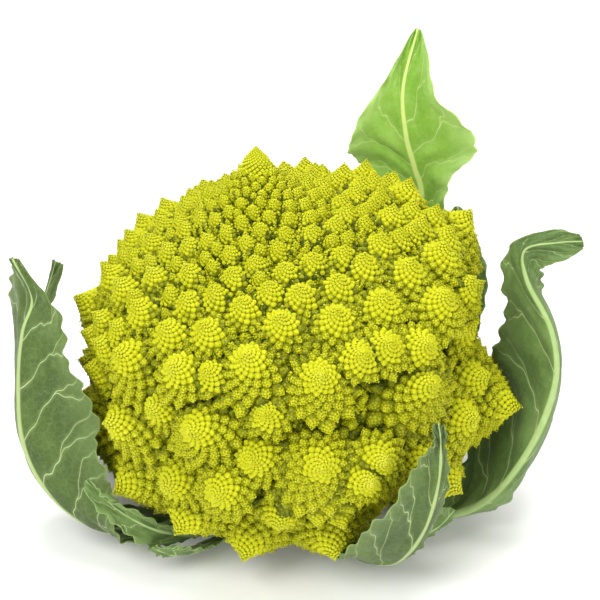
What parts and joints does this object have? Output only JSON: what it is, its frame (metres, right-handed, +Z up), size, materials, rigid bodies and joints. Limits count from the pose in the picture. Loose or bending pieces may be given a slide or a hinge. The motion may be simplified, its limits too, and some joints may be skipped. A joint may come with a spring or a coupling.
{
  "type": "romanesco head",
  "caption": "Romanesco head: a tilted dome of spiralling pointed florets on a short cut stalk, with cupped green leaves round its sides and back.",
  "frame": {"origin": "middle of the stalk's flat cut face, which the head stands on", "axes": "+Z up through the head, -Y towards the front with the largest florets, +X towards the right"},
  "size_m": [0.2108, 0.1884, 0.16],
  "materials": {
    "curd": "soft matte, waxy",
    "stalk": "matte, moist cut face",
    "leaf": "matte with a waxy bloom"
  },
  "bodies": {
    "root": {"curd": "curd", "stalk": "stalk", "leaf_left": "leaf", "leaf_right": "leaf", "leaf_front": "leaf", "leaf_front_rear": "leaf", "leaf_back": "leaf", "leaf_back_low": "leaf", "leaf_left_rear": "leaf", "leaf_low_left": "leaf", "leaf_low_front": "leaf"}
  },
  "joints": []
}
